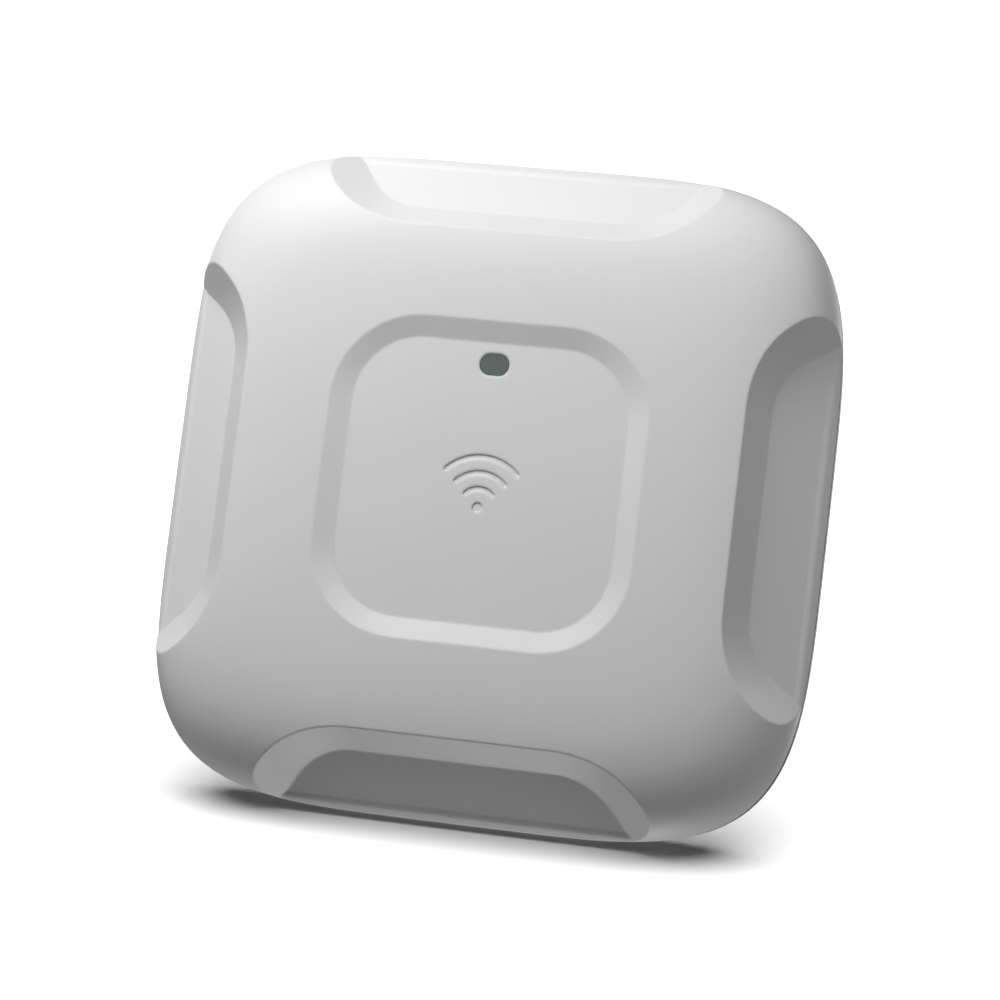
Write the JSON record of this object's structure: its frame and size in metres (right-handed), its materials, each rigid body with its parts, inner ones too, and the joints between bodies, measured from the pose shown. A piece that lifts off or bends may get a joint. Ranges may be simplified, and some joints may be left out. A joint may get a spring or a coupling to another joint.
{
  "type": "ceiling access point",
  "caption": "Square wireless access point with a softly domed front cover, edge pockets, status window, metal base, sockets in a cable bay and rear mounting pins.",
  "frame": {"origin": "centre of the four mounting pins, on the plane of their end faces", "axes": "+Y out of the back, along the pins, towards the ceiling or wall it hangs on; the front cover faces -Y; +Z along the front face towards the status window; the cable bay opens at the -Z edge. Turned so that +Y points up, it hangs from a ceiling."},
  "size_m": [0.2208, 0.0535, 0.2208],
  "materials": {
    "cover_plastic": "fine satin texture",
    "window_plastic": "smoked, glossy",
    "clear_plastic": "clear, polished",
    "light_package": "moulded",
    "base_paint": "die-cast, with a fine dark grey powder coat",
    "pin_steel": "turned, zinc plated",
    "screw_steel": "zinc plated",
    "label_film": "blank printed film",
    "lid_paint": "fine dark grey powder coat on steel sheet",
    "thumbscrew_nickel": "nickel plated, knurled",
    "connector_plastic": "moulded",
    "jack_tin": "tin plated sheet",
    "jack_plastic": "moulded",
    "contact_gold": "gold plated",
    "button_plastic": "moulded",
    "board_laminate": "solder mask",
    "chip_epoxy": "moulded epoxy",
    "pad_silicone": "soft silicone",
    "can_aluminium": "drawn sleeve",
    "ferrite": "sintered ferrite",
    "shield_tin": "tin plated sheet",
    "plate_aluminium": "rolled sheet",
    "antenna_metal": "stamped nickel silver",
    "stand_plastic": "moulded",
    "lead_jacket": "extruded",
    "plug_brass": "gold plated"
  },
  "bodies": {
    "housing": {"front_cover": "cover_plastic", "status_window": "window_plastic", "light_pipe": "clear_plastic", "status_light": "light_package", "base_plate": "base_paint", "mounting_pins": "pin_steel", "cover_screws": "screw_steel", "back_label": "label_film", "module_connector": "connector_plastic", "power_jack_body": "jack_plastic", "power_jack_pin": "contact_gold", "mode_switch": "connector_plastic", "lock_plate": "pin_steel", "main_board": "board_laminate", "board_screws": "screw_steel", "processor": "chip_epoxy", "radio_chip_low_band": "chip_epoxy", "radio_chip_high_band": "chip_epoxy", "thermal_pads": "pad_silicone", "memory_chips": "chip_epoxy", "capacitors": "can_aluminium", "inductors": "ferrite", "line_transformer": "ferrite", "shield_frame_left": "shield_tin", "shield_frame_right": "shield_tin", "shield_lid_left": "shield_tin", "shield_lid_right": "shield_tin", "radio_amplifiers": "chip_epoxy", "board_spacers": "plug_brass", "antenna_plate": "plate_aluminium", "plate_screws": "screw_steel", "antenna_stands": "stand_plastic", "coax_plugs": "plug_brass", "coax_sockets": "plug_brass", "lead_clips": "stand_plastic", "ethernet_jack_shell": "jack_tin", "ethernet_jack_body": "jack_plastic", "ethernet_jack_contacts": "contact_gold", "console_jack_shell": "jack_tin", "console_jack_body": "jack_plastic", "console_jack_contacts": "contact_gold", "antenna_top_right": "antenna_metal", "antenna_lead_top_right": "lead_jacket", "antenna_bottom_right": "antenna_metal", "antenna_lead_bottom_right": "lead_jacket", "antenna_bottom_left": "antenna_metal", "antenna_lead_bottom_left": "lead_jacket", "antenna_top_left": "antenna_metal", "antenna_lead_top_left": "lead_jacket"},
    "mode_button": {"mode_button": "button_plastic"},
    "module_lid": {"module_lid": "lid_paint"},
    "thumbscrew_left": {"thumbscrew_left": "thumbscrew_nickel"},
    "thumbscrew_right": {"thumbscrew_right": "thumbscrew_nickel"}
  },
  "joints": [
    {"name": "mode_button_press", "type": "slide", "parent": "housing", "child": "mode_button", "axis": [0, 0, 1], "range_m": [0, 0.0008], "stiffness_N_per_m": 1500},
    {"name": "module_lid_lift", "type": "slide", "parent": "housing", "child": "module_lid", "axis": [0, 1, 0], "range_m": [0, 0.04]},
    {"name": "thumbscrew_left_turn", "type": "hinge", "parent": "module_lid", "child": "thumbscrew_left", "pos_m": [-0.04, 0, 0.035], "axis": [0, 1, 0], "continuous": true},
    {"name": "thumbscrew_right_turn", "type": "hinge", "parent": "module_lid", "child": "thumbscrew_right", "pos_m": [0.04, 0, 0.035], "axis": [0, 1, 0], "continuous": true}
  ]
}
